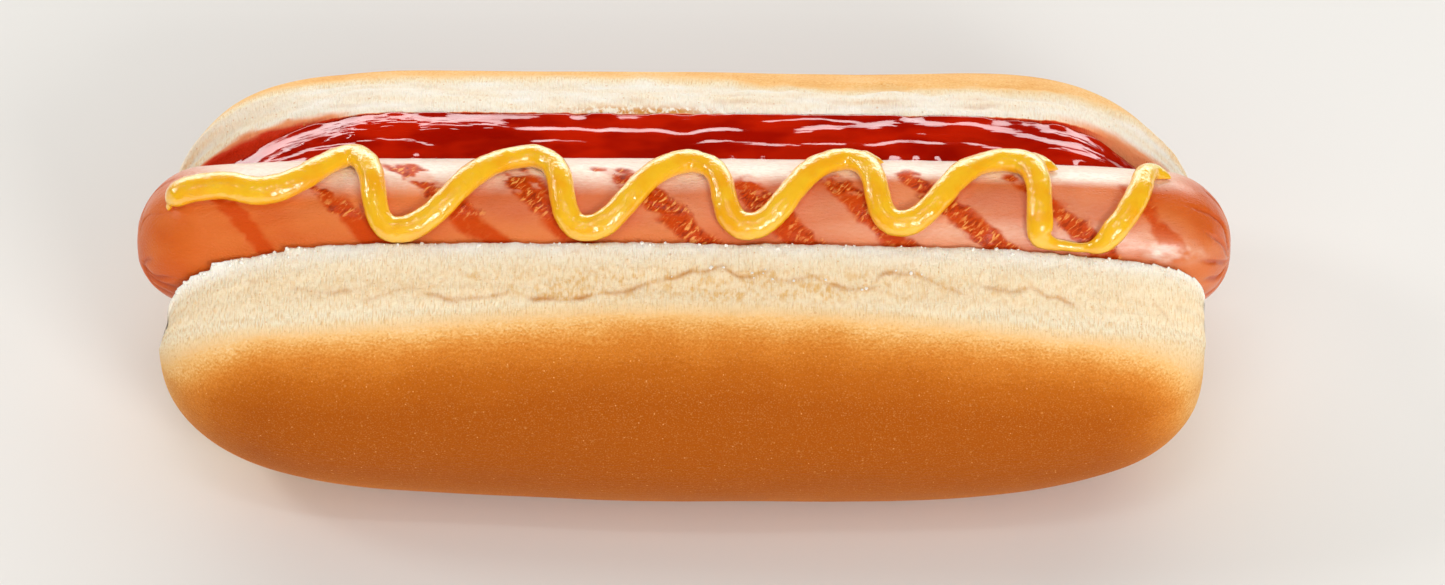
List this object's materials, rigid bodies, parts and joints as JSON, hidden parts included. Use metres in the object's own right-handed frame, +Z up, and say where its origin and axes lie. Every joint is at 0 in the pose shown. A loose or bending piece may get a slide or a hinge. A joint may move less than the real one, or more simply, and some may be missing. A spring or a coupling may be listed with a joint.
{
  "type": "hot dog",
  "caption": "Hot dog: grilled sausage in a soft split bun, with ketchup along the rear of the split and a wavy line of mustard on top.",
  "frame": {"origin": "on the resting plane, under the middle of the overall box", "axes": "+X along the bun, +Y from the front lobe towards the lobe with the ketchup, +Z up"},
  "size_m": [0.1572, 0.0701, 0.0484],
  "materials": {
    "bread": "soft baked crust, brown on the belly and fading to a pale, matte, fine-pored band at the split",
    "sausage_casing": "greasy, half-glossy casing with dark grill marks across it and gathered, wrinkled ends",
    "ketchup": "wet, glossy, deep red sauce with ridges along it",
    "mustard": "wet, glossy, warm yellow sauce laid as a smooth bead"
  },
  "bodies": {
    "root": {"bun": "bread", "sausage": "sausage_casing", "ketchup": "ketchup", "mustard": "mustard"}
  },
  "joints": []
}
